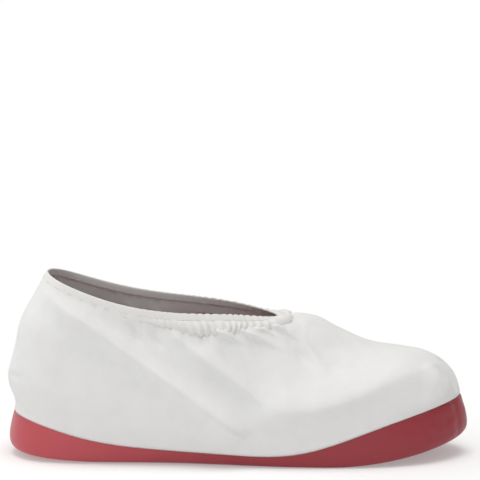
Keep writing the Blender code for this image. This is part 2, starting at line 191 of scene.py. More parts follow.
# Folds of the upper. Columns: path of the crest, as pairs of the place round the overshoe and the climb;
# reach of the fold left and right of its path, shares of the length; height, share of the fold
# height, less than zero for a valley; fade, share of its length over which each end dies out;
# side, 1 for the near side, seen from outside, and -1 for its mirror image on the far side
FOLDS = (
    # two long folds that run down from the hem
    (
        (
            (0.1, 0.86), (0.2, 0.82), (0.278, 0.74), (0.382, 0.58),
            (0.47, 0.43), (0.544, 0.23), (0.572, 0.13),
        ),
        0.022, 0.036, 2.4, 0.22, 1,
    ),
    (
        ((0.47, 0.83), (0.524, 0.71), (0.56, 0.62), (0.59, 0.54), (0.612, 0.45), (0.64, 0.34)),
        0.022, 0.024, 1.8, 0.32, 1,
    ),
    # the shoulder along the ball and the toe
    (
        ((0.6, 0.33), (0.67, 0.33), (0.718, 0.31), (0.788, 0.32), (0.872, 0.36), (0.96, 0.35)),
        0.06, 0.036, 1.5, 0.2, 1,
    ),
    # fingers that fan out from the throat
    (((0.56, 0.9), (0.594, 0.86), (0.616, 0.83), (0.644, 0.79), (0.7, 0.73)), 0.022, 0.006, 1.15, 0.5, 1),
    (
        ((0.64, 0.9), (0.67, 0.86), (0.694, 0.83), (0.716, 0.8), (0.746, 0.75), (0.77, 0.68)),
        0.02, 0.006, 1.25, 0.5, 1,
    ),
    (((0.705, 0.91), (0.732, 0.87), (0.754, 0.86), (0.774, 0.83), (0.8, 0.76)), 0.015, 0.006, 0.9, 0.5, 1),
    (((0.77, 0.93), (0.794, 0.89), (0.814, 0.87), (0.824, 0.81), (0.842, 0.73)), 0.018, 0.006, 1.2, 0.5, 1),
    (((0.804, 0.8), (0.796, 0.71), (0.788, 0.63), (0.776, 0.5)), 0.012, 0.014, -0.65, 0.5, 1),
    (((0.85, 0.83), (0.832, 0.74), (0.806, 0.6), (0.78, 0.44)), 0.014, 0.014, 0.65, 0.5, 1),
    (((0.916, 0.9), (0.924, 0.88), (0.94, 0.84), (0.954, 0.79)), 0.012, 0.01, 0.3, 0.5, 1),
    (((0.866, 0.76), (0.88, 0.71), (0.89, 0.65)), 0.018, 0.018, -0.25, 0.5, 1),
    # the instep's swell ahead of the throat
    (((0.96, 0.98), (1.0, 0.93), (1.01, 0.86), (1.01, 0.79)), 0.034, 0.04, 0.9, 0.4, 1),
    # pleats under the flat part of the hem
    (((0.344, 0.9), (0.36, 0.83), (0.372, 0.76), (0.384, 0.7)), 0.01, 0.012, -0.75, 0.5, 1),
    (((0.404, 0.88), (0.416, 0.81), (0.428, 0.74), (0.436, 0.68)), 0.009, 0.01, -0.65, 0.5, 1),
    (((0.47, 0.88), (0.484, 0.8), (0.5, 0.72)), 0.008, 0.012, 0.6, 0.5, 1),
    # soft ridge below the hem at the heel, and creases over the rim there
    (((0.04, 0.89), (0.132, 0.87), (0.22, 0.835)), 0.014, 0.022, 0.4, 0.4, 1),
    (((0.0, 0.34), (0.05, 0.36), (0.11, 0.38)), 0.01, 0.014, -0.3, 0.4, 1),
    (((0.046, 0.24), (0.086, 0.18), (0.124, 0.08)), 0.01, 0.016, 0.25, 0.4, 1),
    # toe: the edge of the facet that turns to the front, its hollow, and a ridge and a crease on top
    (((0.918, 0.39), (0.934, 0.31), (0.946, 0.25), (0.966, 0.11)), 0.024, 0.04, 1.4, 0.35, 1),
    (((0.93, 0.37), (0.946, 0.29), (0.961, 0.21), (0.982, 0.1)), 0.04, 0.008, -1.0, 0.4, 1),
    (((0.905, 0.355), (0.935, 0.365), (0.985, 0.375)), 0.012, 0.01, 0.25, 0.45, 1),
    (((0.976, 0.39), (1.0, 0.36), (1.002, 0.28)), 0.006, 0.008, -0.5, 0.4, 1),
    # far side
    (((0.18, 0.84), (0.3, 0.72), (0.4, 0.56), (0.49, 0.38), (0.56, 0.16)), 0.036, 0.046, 1.1, 0.25, -1),
    (((0.45, 0.82), (0.53, 0.66), (0.59, 0.5), (0.66, 0.38)), 0.03, 0.024, 0.9, 0.3, -1),
    (((0.64, 0.36), (0.73, 0.34), (0.84, 0.36), (0.93, 0.34)), 0.07, 0.036, 0.9, 0.25, -1),
    (((0.58, 0.86), (0.64, 0.79), (0.69, 0.73)), 0.018, 0.008, 0.45, 0.45, -1),
    (((0.66, 0.86), (0.71, 0.8), (0.75, 0.71)), 0.017, 0.008, 0.5, 0.45, -1),
    (((0.74, 0.88), (0.78, 0.82), (0.8, 0.74)), 0.015, 0.008, 0.45, 0.45, -1),
    (((0.82, 0.88), (0.84, 0.78), (0.82, 0.6)), 0.014, 0.014, 0.45, 0.45, -1),
    (((0.33, 0.89), (0.35, 0.8), (0.372, 0.7)), 0.01, 0.012, -0.4, 0.5, -1),
    (((0.41, 0.88), (0.425, 0.79), (0.44, 0.7)), 0.009, 0.01, -0.35, 0.5, -1),
    (((0.9, 0.4), (0.936, 0.3), (0.97, 0.1)), 0.014, 0.008, -0.5, 0.35, -1),
)

# Gathers under the hem's casing, in metres. Columns: place, how far they reach down, how far they
# stand out, how deep their valleys are, and how far the pleats below them stand out
GATHERS = (
    (0.00, 0.0012, 0.0001, 0.0000, 0.00005),
    (0.20, 0.0014, 0.0001, 0.0000, 0.00010),
    (0.32, 0.0022, 0.0004, 0.0003, 0.00040),
    (0.42, 0.0034, 0.0008, 0.0005, 0.00060),
    (0.50, 0.0058, 0.0015, 0.0008, 0.00070),
    (0.57, 0.0098, 0.0030, 0.0013, 0.00060),
    (0.68, 0.0112, 0.0040, 0.0016, 0.00060),
    (0.76, 0.0108, 0.0040, 0.0016, 0.00060),
    (0.84, 0.0098, 0.0038, 0.0015, 0.00060),
    (0.90, 0.0092, 0.0036, 0.0013, 0.00050),
    (0.95, 0.0082, 0.0032, 0.0012, 0.00050),
    (1.00, 0.0030, 0.0026, 0.0010, 0.00040),
)

# The photograph's view. Its size is in pixels and its scale in pixels to the metre
VIEW_DISTANCE = 2.4
VIEW_PITCH = math.radians(10.2)
VIEW_AIM = (0.0013, 0.0, 0.1525)
PHOTO_SIZE = 480
PHOTO_SCALE = 1424.0

# Studio. The sky is brighter on the heel's side, the first strength, than on the toe's
FLOOR_REACH = 14.0
FLOOR_FINISH = {
    "Base Color": (0.63, 0.63, 0.63, 1),
    "Emission Color": (1, 1, 1, 1),
    "Emission Strength": 0.29,
    "Roughness": 0.9,
    "Specular IOR Level": 0.1,
}
SKY_STRENGTH = (1.00, 0.24)
SKY_COLOUR = (0.985, 0.993, 1.0)
# Suns: an overhead key and a weak one from the front.
# Columns: name, strength, softness in degrees, where it comes from, colour
SUNS = (
    ("key", 1.62, 36, (-0.03, -0.10, 0.995), (1.0, 0.985, 0.955)),
    ("front", 0.30, 60, (-0.10, -0.97, 0.20), SKY_COLOUR),
)

# Fabrics and thread. Columns: lighter colour, darker colour
WHITE_NONWOVEN = ((0.735, 0.730, 0.722), (0.705, 0.700, 0.692))
HEM_NONWOVEN = ((0.715, 0.705, 0.688), (0.685, 0.675, 0.658))
WHITE_THREAD = ((0.76, 0.75, 0.72), (0.70, 0.69, 0.66))
FABRIC_FINISH = {"Roughness": 0.82, "Specular IOR Level": 0.3, "Sheen Weight": 0.15, "Sheen Roughness": 0.5}
FIBRE_HEIGHT = 0.00008
STRAND_HEIGHT = 0.00012

# Rubber, whose colour fades between two places along from painted light at the heel to painted shade at the
# toe
RUBBER_LIT_HEEL = (0.50, 0.084, 0.098)
RUBBER_SHADED_TOE = (0.285, 0.036, 0.045)
RUBBER_SHADE_FADE = (-0.15, 0.05)
RUBBER_MOTTLE = 0.25
RUBBER_ROUGHNESS = (0.30, 0.42)
RUBBER_SPECULAR = 0.28
GRAIN_HEIGHT = 0.00004
RIPPLE_HEIGHT = 0.00025

# Noise textures. Columns: scale, detail, roughness and, for the strands, stretch
FABRIC_CLOUDS = (90.0, 4.0, 0.6)
FABRIC_FIBRES = (1500.0, 3.0, 0.6)
FABRIC_STRANDS = (700.0, 5.0, 0.7, (1.0, 2.2, 3.0))
RUBBER_CLOUDS = (45.0, 4.0, 0.6)
RUBBER_GRAIN = (900.0, 3.0, 0.6)
RUBBER_RIPPLE = (120.0, 2.0, 0.5)

# Mesh fineness
UPPER_COLUMNS = 560
UPPER_ROWS = 136
LINING_COLUMNS = 280
LINING_ROWS = 56
ROW_CROWDING = 1.2
FOLD_STEPS = 24
WAVE_COUNT = 24
LADDER_STEPS = 80
RUN_STEPS = 1600
SOLE_COLUMNS = 640
SOLE_SIDE_ROWS = 32
HEM_COLUMNS = 1000
CASING_POINTS = 20
ROLL_POINTS = 18
PAD_STEPS = 8
THREAD_SIDES = 6

# Unevenness of the surfaces. Columns: height, shortest and longest wavelength, seed
FABRIC_WAVES = ((0.00022, (0.035, 0.070), 3), (0.00010, (0.012, 0.030), 4))
SOLE_WAVE = (0.00009, (0.018, 0.05), 11)
TOE_WAVE = (0.00010, (0.006, 0.014), 12)

# Sole: places along between which the toe's wave comes in, and climbs between which both do
TOE_WAVE_START = (0.09, 0.13)
SOLE_WAVE_START = (0.15, 0.4)
SOLE_SHARP_ANGLE = math.radians(38)
# The soft upright crease of the sole at each corner of the toe, by the place round the overshoe
CREASE_PLACE = 0.957
CREASE_REACH = 0.007
CREASE_DEPTH = 0.0005
# The rounded top of the rim. Columns: share of the rim's wall, share of its rounding
RIM_ROUND = 0.00020
RIM_PROFILE = ((0.35, 0.9), (0.65, 0.9), (1.00, 0.2))
# Climbs of the rows down its inside
INSIDE_CLIMBS = (0.9, TUCK_CLIMB, 0.6, FLOOR_CLIMB)

# Tread: distances from its edge between which the grooves deepen, and the length of a pad's middle
TREAD_FADE = (0.0025, 0.0065)
PAD_MIDDLE_LENGTH = 0.35
# Points that match in whole micrometres are one
MICROMETRES = 1e6
# The fill's kind, outlined regions with the extra edges that valid faces need, and its closeness
FILL_KIND = 4
FILL_CLOSENESS = 1e-9
# Rings of a pad, from its groove to its middle. Columns: share of the cell's width, share of the
# groove's depth
PAD_PROFILE = (
    (1.00, 1.00),
    (0.92, 0.62),
    (0.84, 0.28),
    (0.74, 0.04),
    (0.60, 0.00),
    (0.30, 0.06),
    (0.00, 0.14),
)

# Upper: how a fold falls off from its crest
CREST_ROUND = 0.12
FOLD_CURVE = 1.3
FOLD_FALL = 1.6
# Climbs between which folds and waves come in, and between which the waves end again
FOLDS_START = (0.01, 0.14)
WAVES_START = (0.02, 0.2)
WAVES_END = (0.85, 0.95)
# Climb by which the fabric has come out from inside the rim
RIM_CLIMB = 0.03
# Climbs of the rows that are tucked into the sole
TUCK_CLIMBS = (TUCK_CLIMB, 0.88, 1.0)
# Distances below the casing's foot at which the folds begin to end and have ended
FOLDS_END = (0.006, -0.002)

# Hem: how far the elastic draws it in, where that starts and ends, and its reach down
HEM_DRAW = 0.0012
HEM_DRAW_START = (0.96, 1.10)
HEM_DRAW_END = (1.25, 1.50)
HEM_DRAW_REACH = 0.014
# How far the fabric is lifted under the flat part of the hem, its places and its reach
HEM_LIFT = 0.0003
HEM_LIFT_END = (0.42, 0.55)
HEM_LIFT_REACH = 0.008
# How far the upper reaches up behind the casing
HEM_OVERLAP = 0.0010
# Steps that measure how the lines round_at lean at the opening's edge
SLANT_PLACE = 0.004
SLANT_CLIMB = 0.07
# Climbs at which the hem's outward and upward directions are read
HEM_NORMAL_CLIMB = 0.995
HEM_UPWARD_CLIMB = 0.97

# Gathers: how they lean, and how their widths differ.
# Columns of the jitter: size in gathers, waves round the opening, start
GATHER_LEAN = 0.42
LEAN_TURN = 6
GATHER_JITTER = ((0.25, 7, 1.0), (0.12, 17, 2.3))
# Sizes drawn for each gather. Columns: seed, least, greatest
GATHER_COUNT = 400
PLEAT_REACH = (5, 0.003, 0.012)
PLEAT_HEIGHT = (6, 0.10, 1.3)
PUCKER_SIZE = (21, 0.3, 1.2)
ROLL_SIZE = (31, 0.62, 1.12)
# Sharpness of the crests, and how the pleats die out
LOBE_SHARPNESS = 1.1
PUCKER_SHARPNESS = 0.7
PLEAT_FALL = 1.5

# Casing: the form of its section, and its puckers
CASING_SQUARE = 0.5
CASING_FULLNESS = 0.80
CASING_TAPER = 0.20
PUCKER_MIDDLE = 0.6
PUCKER_EDGE = 0.30
PUCKER_HEIGHT = 0.00006
PUCKER_DEPTH = 0.28

# Roll of gathers: the form of its section, and its back
ROLL_TUCK = 0.0007
ROLL_FULLNESS = 0.6
ROLL_OUT = 0.0001
ROLL_BACK_REACH = 0.9
ROLL_BACK_DEPTH = 0.0003
# Scallops of its lower edge. Columns: share of the reach down, the size that has none
SIZE_SCALLOP = (0.22, 0.9)
LOBE_SCALLOP = (0.16, 0.7)

# Stitches: a running row along the casing's foot and a zigzag inside
STITCH_PITCH = 0.0030
STITCH_SHARE = 0.72
STITCH_UP = 0.0007
STITCH_STAND = 0.9
ZIGZAG_DOWN = 0.0012
ZIGZAG_UP = 0.0014
ZIGZAG_LOW_GAP = 0.0002
ZIGZAG_HIGH_GAP = 0.0001
THREAD_RADIUS = 0.00020
# Columns: share of the thread's length, share of its radius
THREAD_PROFILE = ((0.00, 0.25), (0.12, 0.8), (0.50, 1.0), (0.88, 0.8), (1.00, 0.25))


def spline_bends(knots, period=None):
    """The matrix that turns a smooth curve's values at the knots into its second derivatives there.

    With a period the curve is closed and its last knot is one step before the first again.
    Without one its ends are straight.
    """
    count = len(knots)
    steps = np.diff(np.append(knots, knots[0] + period) if period else knots)
    system = np.eye(count)
    pull = np.zeros((count, count))
    rows = range(count) if period else range(1, count - 1)
    for row in rows:
        before, after = (row - 1) % count, (row + 1) % count
        left, right = steps[row - 1], steps[row]
        system[row, before] = left
        system[row, row] = 2 * (left + right)
        system[row, after] = right
        pull[row, before] = 6 / left
        pull[row, row] = -6 / left - 6 / right
        pull[row, after] = 6 / right
    return np.linalg.solve(system, pull)


def read_spline(knots, values, bends, at, period=None):
    """Points of a smooth curve at each place in at. values and bends have a row for each knot.

    With a third dimension, each place reads a curve of its own.
    """
    if period:
        at = (at - knots[0]) % period + knots[0]
        knots = np.append(knots, knots[0] + period)
        values = np.concatenate([values, values[:1]])
        bends = np.concatenate([bends, bends[:1]])
    cell = np.clip(np.searchsorted(knots, at, side="right") - 1, 0, len(knots) - 2)
    step = (knots[cell + 1] - knots[cell])[:, None]
    ahead = (at - knots[cell])[:, None] / step
    behind = 1 - ahead
    low, high = (cell, np.arange(len(at))), (cell + 1, np.arange(len(at)))
    if values.ndim == 2:
        low, high = cell, cell + 1
    curve = (behind**3 - behind) * bends[low] + (ahead**3 - ahead) * bends[high]
    return behind * values[low] + ahead * values[high] + curve * step**2 / 6


HALF_KNOTS = np.array(STATIONS)
LOOP_KNOTS = np.concatenate([-HALF_KNOTS[-2:0:-1], HALF_KNOTS])
LOOP_BENDS = spline_bends(LOOP_KNOTS, period=2.0)


def floor_height(along):
    """Height of the sole's underside: it rises towards the toe and a little at the heel."""
    toe = np.clip((along - (LENGTH / 2 - TOE_SPRING_RUN)) / TOE_SPRING_RUN, 0, None)
    heel = np.clip((-along - (LENGTH / 2 - HEEL_RISE_RUN)) / HEEL_RISE_RUN, 0, None)
    return TOE_SPRING * toe**TOE_SPRING_CURVE + HEEL_RISE * heel**HEEL_RISE_CURVE


def loop_line(table, round_at):
    """Points of a line round the overshoe. round_at runs from 0 at the heel to 1 at the toe on the
    near side, where Y is negative, and from 0 to -1 on the far side."""
    half = np.array(table)
    mirrored = half[-2:0:-1] * np.array([1, -1, 1][: half.shape[1]])
    loop = np.concatenate([mirrored, half])
    points = read_spline(LOOP_KNOTS, loop, LOOP_BENDS @ loop, round_at, period=2.0)
    along = points[..., 0] * LENGTH / 2
    out = -points[..., 1] * WIDTH / 2
    up = points[..., 2] if half.shape[1] == 3 else np.zeros_like(along)
    return np.stack([along, out, up], axis=-1)


def tread_edge(round_at):
    """Points of the edge of the flat tread."""
    line = loop_line(TREAD_EDGE, round_at)
    line[..., 2] = floor_height(line[..., 0])
    return line


def sole_side(round_at, climb):
    """Outer side of the sole, from the tread's edge at climb 0 to the rim's top edge at climb 1."""
    foot = tread_edge(round_at)
    corner = loop_line(SOLE_CORNER, round_at) * (1, 1, RIM_HEIGHT)
    top = loop_line(RIM_LINE, round_at) * (1, 1, RIM_HEIGHT)
    low = foot + (corner - foot) * CORNER_FULLNESS
    high = top + (corner - top) * CORNER_FULLNESS
    t = np.asarray(climb)[..., None]
    return (1 - t) ** 3 * foot + 3 * t * (1 - t) ** 2 * low + 3 * t**2 * (1 - t) * high + t**3 * top


WALL_KNOTS = np.linspace(0, 1, len(WALL_LINES) + 2)
WALL_BENDS = spline_bends(WALL_KNOTS)


def wall_surface(round_at, climb):
    """Smooth outer form of the upper, from the sole's rim at climb 0 to the opening at climb 1."""
    rim = loop_line(RIM_LINE, round_at) * (1, 1, RIM_HEIGHT)
    opening = loop_line(OPENING_LINE, round_at) * (1, 1, OPENING_HEIGHT)
    lines = [rim]
    for table in WALL_LINES:
        line = loop_line(table, round_at)
        line[..., 2] = rim[..., 2] + line[..., 2] * (opening[..., 2] - rim[..., 2])
        lines.append(line)
    lines.append(opening)
    stack = np.array(lines)
    bends = np.tensordot(WALL_BENDS, stack, axes=1)
    return read_spline(WALL_KNOTS, stack, bends, climb)


def unit(vectors):
    """Vectors brought to the length 1."""
    return vectors / np.linalg.norm(vectors, axis=-1, keepdims=True)


def outward(surface, round_at, climb, reach=0.002):
    """Unit normals of a surface, pointing outwards."""
    round_step = surface(round_at + reach, climb) - surface(round_at - reach, climb)
    climb_step = surface(round_at, climb + reach) - surface(round_at, climb - reach)
    return unit(np.cross(round_step, climb_step))


def level(normals):
    """Normals turned into the horizontal, so that an upright wall keeps its thickness."""
    return unit(normals * (1, 1, 0))


def smooth_step(value, start, end):
    """0 up to the start, 1 from the end on, and an even rise between them."""
    share = np.clip((value - start) / (end - start), 0, 1)
    return share * share * (3 - 2 * share)


def wave(points, height, sizes, seed):
    """Smooth seeded noise of about the given height, from plane waves of the given wavelengths."""
    random = np.random.default_rng(seed)
    total = np.zeros(points.shape[:-1])
    for _ in range(WAVE_COUNT):
        direction = random.normal(size=3)
        direction /= np.linalg.norm(direction)
        size = random.uniform(*sizes)
        total += np.sin(points @ direction * 2 * math.pi / size + random.uniform(0, 2 * math.pi))
    return height * (total / math.sqrt(WAVE_COUNT / 2))


def sole_wall(climb):
    """Thickness of the sole's side, thinner towards its top edge."""
    return SOLE_WALL + (RIM_WALL - SOLE_WALL) * smooth_step(climb, WALL_THINS_CLIMB, 1.0)


def inside_sole(round_at, climb, clearance):
    """Points a clearance in from the inner face of the sole's side."""
    depth = (sole_wall(climb) + clearance)[..., None]
    return sole_side(round_at, climb) - level(outward(sole_side, round_at, climb)) * depth


def opening_run(places):
    """Distance round the opening's edge at each place, and its whole length."""
    fine = np.linspace(0, 2, RUN_STEPS + 1)
    edge = loop_line(OPENING_LINE, fine) * (1, 1, OPENING_HEIGHT)
    run = np.append(0, np.cumsum(np.linalg.norm(np.diff(edge, axis=0), axis=1)))
    return np.interp(places % 2, fine, run), run[-1]


def read_gathers(places):
    """How far the gathers reach down and stand out at each place, their valleys' depth, and how
    far the pleats below stand out."""
    table = np.array(GATHERS)
    share = 1 - np.abs(1 - places % 2)
    return [np.interp(share, table[:, 0], table[:, k]) for k in (1, 2, 3, 4)]


def hem_draw(places):
    """How far the elastic draws the hem in below the smooth form, past the throat on the far side."""
    around = places % 2
    return HEM_DRAW * smooth_step(around, *HEM_DRAW_START) * (1 - smooth_step(around, *HEM_DRAW_END))


def gather_phase(places, below):
    """Counts the gathers round the opening, each of its own width. They lean towards the toe
    with the distance below the hem's edge."""
    run, whole = opening_run(places)
    count = round(whole / GATHER_PITCH)
    near = np.clip(LEAN_TURN * np.sin(math.pi * places), -1, 1)
    turn = (run - near * below * GATHER_LEAN) / whole
    jitter = sum(size * np.sin(2 * math.pi * waves * turn + start) for size, waves, start in GATHER_JITTER)
    return turn * count + jitter


def gather_size(phase, seed, low, high):
    """A size for each gather, the same all over it, blended at its edges."""
    sizes = np.random.default_rng(seed).uniform(low, high, GATHER_COUNT)
    cell = np.floor(phase).astype(int)
    ahead = smooth_step(phase - cell, 0.0, 1.0)
    return sizes[cell % GATHER_COUNT] * (1 - ahead) + sizes[(cell + 1) % GATHER_COUNT] * ahead


def crest(phase, sharpness):
    """1 on each gather's crest and 0 in the narrow valleys between them."""
    return np.abs(np.cos(math.pi * phase)) ** sharpness


def fold_path(pairs, side):
    """Points along a fold's crest on the smooth form, and the outward normals there."""
    pairs = np.array(pairs)
    knots = np.linspace(0, 1, len(pairs))
    at = np.linspace(0, 1, FOLD_STEPS + 1)
    path = read_spline(knots, pairs, spline_bends(knots) @ pairs, at)
    places = path[:, 0] if side > 0 else 2 - path[:, 0]
    return wall_surface(places, path[:, 1]), outward(wall_surface, places, path[:, 1])


def fold_swell(points):
    """How far the fabric stands out in its folds at points of its smooth form."""
    swell = np.zeros(len(points))
    for pairs, left, right, height, fade, side in FOLDS:
        path, normals = fold_path(pairs, side)
        nearest = np.full(len(points), np.inf)
        ahead, beside = np.zeros(len(points)), np.zeros(len(points))
        for step in range(FOLD_STEPS):
            start, run = path[step], path[step + 1] - path[step]
            away = points - start
            along = np.clip(away @ run / (run @ run), 0, 1)
            gap = away - along[:, None] * run
            distance = np.linalg.norm(gap, axis=1)
            closer = distance < nearest
            nearest = np.where(closer, distance, nearest)
            ahead = np.where(closer, (step + along) / FOLD_STEPS, ahead)
            beside = np.where(closer, gap @ np.cross(normals[step], run) * side, beside)
        reach = np.where(beside > 0, left, right) * LENGTH
        share = np.sqrt((nearest / reach) ** 2 + CREST_ROUND**2) - CREST_ROUND
        taper = smooth_step(ahead, 0, fade) * (1 - smooth_step(ahead, 1 - fade, 1))
        swell += height * FOLD_HEIGHT * np.exp(-(share**FOLD_CURVE) * FOLD_FALL) * taper
    return swell


def gather_swell(places, climb, below):
    """Pleats that run down from the hem. below is the distance under the hem's edge."""
    hem_places = places - edge_slant(places)[0] * (climb - 1)
    reach_down, _, _, pleats = read_gathers(hem_places)
    phase = gather_phase(hem_places, below) / 2
    reach = reach_down + gather_size(phase, *PLEAT_REACH)
    height = gather_size(phase, *PLEAT_HEIGHT) * pleats
    pleat = crest(phase, LOBE_SHARPNESS) * 2 - 1
    under = np.maximum(below - CASING_HEIGHT, 0)
    return pleat * height * np.exp(-((under / reach) ** PLEAT_FALL))


def upper_face(places, climb, below):
    """Outer face of the upper with all its folds."""
    points = wall_surface(places, climb)
    calm = smooth_step(climb, *WAVES_START) * (1 - smooth_step(climb, *WAVES_END))
    inset = (RIM_WALL + PIECE_GAP) * (1 - smooth_step(climb, 0.0, RIM_CLIMB))
    hem_near = smooth_step(below, CASING_HEIGHT + FOLDS_END[0], CASING_HEIGHT + FOLDS_END[1])
    settle = smooth_step(climb, *FOLDS_START) * (1 - hem_near)
    move = fold_swell(points) * settle - inset
    move += calm * sum(wave(points, *row) for row in FABRIC_WAVES)
    move += gather_swell(places, climb, below)
    move -= hem_draw(places) * (1 - smooth_step(below, CASING_HEIGHT, CASING_HEIGHT + HEM_DRAW_REACH))
    flat_hem = 1 - smooth_step(1 - np.abs(1 - places % 2), *HEM_LIFT_END)
    move += HEM_LIFT * flat_hem * (1 - smooth_step(below, CASING_HEIGHT, CASING_HEIGHT + HEM_LIFT_REACH))
    return points + outward(wall_surface, places, climb) * move[:, None]


def ring_faces(rows, columns, closed=False):
    """Faces between rows of points round the overshoe; closed joins the last row to the first."""
    row = np.arange(rows if closed else rows - 1)[:, None]
    column = np.arange(columns)[None]
    low, high = row * columns, (row + 1) % rows * columns
    after = (column + 1) % columns
    corners = (low + column, low + after, high + after, high + column)
    return np.stack(corners, axis=-1).reshape(-1, 4).tolist()


def add_object(name, data):
    """A new object in the scene."""
    made = bpy.data.objects.new(name, data)
    bpy.context.scene.collection.objects.link(made)
    return made


def add_piece(name, points, faces, material, slot, *nodes):
    """Makes a smooth piece that rides on the object and stands for CAD nodes. The slot is not used."""
    mesh = bpy.data.meshes.new(name)
    mesh.from_pydata(np.asarray(points).tolist(), [], faces)
    mesh.materials.append(material)
    mesh.shade_smooth()
    piece = add_object(name, mesh)
    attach(piece, "root")
    if nodes:
        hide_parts(*nodes)
    return piece


def inside_loop(points, loop):
    """Which plan points lie inside a closed plan loop."""
    x, y = points[..., 0, None], points[..., 1, None]
    x0, y0 = loop[:, 0], loop[:, 1]
    x1, y1 = np.roll(x0, -1), np.roll(y0, -1)
    spans = (y0 > y) != (y1 > y)
    rise = np.where(y1 == y0, 1, y1 - y0)
    crossing = x0 + (y - y0) * (x1 - x0) / rise
    return np.sum(spans & (x < crossing), axis=-1) % 2 == 1


def inset_loop(loop, distance):
    """A plan loop that runs anticlockwise, moved inwards."""
    run = np.roll(loop, -1, axis=0) - np.roll(loop, 1, axis=0)
    inwards = np.stack([-run[:, 1], run[:, 0]], axis=-1)
    return loop + unit(inwards) * distance


def pad_cells(loop):
    """Rows and columns of the diamond cells that lie whole inside the tread's border."""
    border = inset_loop(loop, TREAD_BORDER)
    rows = math.ceil(LENGTH / PAD_LENGTH)
    columns = math.ceil(WIDTH / PAD_WIDTH)
    cells = set()
    for row in range(-rows, rows + 1):
        for column in range(-columns, columns + 1):
            corners = np.array(cell_corners(row, column)) * (PAD_LENGTH / 2, PAD_WIDTH / 2)
            if (row + column) % 2 == 0 and inside_loop(corners, border).all():
                cells.add((row, column))
    return cells


def cell_corners(row, column):
    """The corners of a diamond cell, in half cells."""
    return ((row + 1, column), (row, column + 1), (row - 1, column), (row, column - 1))


def round_steps(count):
    """Places spread evenly round the overshoe, from the heel along the near side."""
    return np.arange(count) * 2.0 / count


def lens_half_width(step):
    """Half width of a lens pad's cell at a step of -1 to 1 along it."""
    return PAD_WIDTH / 4 * (1 + np.cos(math.pi * step))


def make_tread(loop):
    """Plan points, rises and faces of the lens pads, the grooves between them and the border."""
    plan = [tuple(point) for point in loop]
    rises = [0.0] * len(loop)
    faces = []
    names = {}
    uses = {}
    pads = []

    def spot(x, y, rise):
        """The name of a plan point, a new one if the point is new."""
        key = (round(x * MICROMETRES), round(y * MICROMETRES))
        if key not in names:
            names[key] = len(plan)
            plan.append((x, y))
            rises.append(rise)
        return names[key]

    steps = np.linspace(-1, 1, PAD_STEPS + 1)
    for row, column in sorted(pad_cells(loop)):
        middle_x, middle_y = row * PAD_LENGTH / 2, column * PAD_WIDTH / 2
        rings = []
        for share, rise in PAD_PROFILE:
            ring = []
            for side, run in ((-1, steps[:-1]), (1, -steps[:-1])):
                for step in run:
                    length = PAD_MIDDLE_LENGTH + (1 - PAD_MIDDLE_LENGTH) * share
                    x = middle_x + step * PAD_LENGTH / 2 * length
                    y = middle_y + side * lens_half_width(step) * share
                    ring.append(spot(x, y, rise * GROOVE_DEPTH))
            rings.append(ring)
        for outer, inner in zip(rings[:-1], rings[1:]):
            for k in range(len(outer)):
                after = (k + 1) % len(outer)
                corners = tuple(dict.fromkeys((outer[after], outer[k], inner[k], inner[after])))
                if len(corners) > 2:
                    faces.append(corners)
        pads.append(np.array([plan[name] for name in rings[0]]))
        for k in range(len(rings[0])):
            edge = tuple(sorted((rings[0][k], rings[0][(k + 1) % len(rings[0])])))
            uses[edge] = uses.get(edge, 0) + 1
    outline = [edge for edge, count in uses.items() if count == 1]
    faces += border_faces(plan, outline, len(loop), pads)
    plan = np.array(plan)
    from_edge = np.array([np.linalg.norm(loop - point, axis=1).min() for point in plan])
    return plan, np.array(rises) * smooth_step(from_edge, *TREAD_FADE), faces


def border_faces(plan, outline, count, pads):
    """Faces between the outline of the pads' field and the tread's edge, none over the pads."""
    used = list(range(count)) + sorted({name for edge in outline for name in edge})
    place = {name: k for k, name in enumerate(used)}
    edges = [(k, (k + 1) % count) for k in range(count)]
    edges += [(place[a], place[b]) for a, b in outline]
    spots = [Vector(plan[name]) for name in used]
    _, _, fills, sources, _, _ = delaunay_2d_cdt(spots, edges, [], FILL_KIND, FILL_CLOSENESS)
    faces = [tuple(used[sources[k][0]] for k in reversed(corners)) for corners in fills]
    middles = np.array([np.mean([plan[name] for name in face], axis=0) for face in faces])
    over_pads = np.any([inside_loop(middles, pad) for pad in pads], axis=0)
    return [face for face, over in zip(faces, over_pads) if not over]


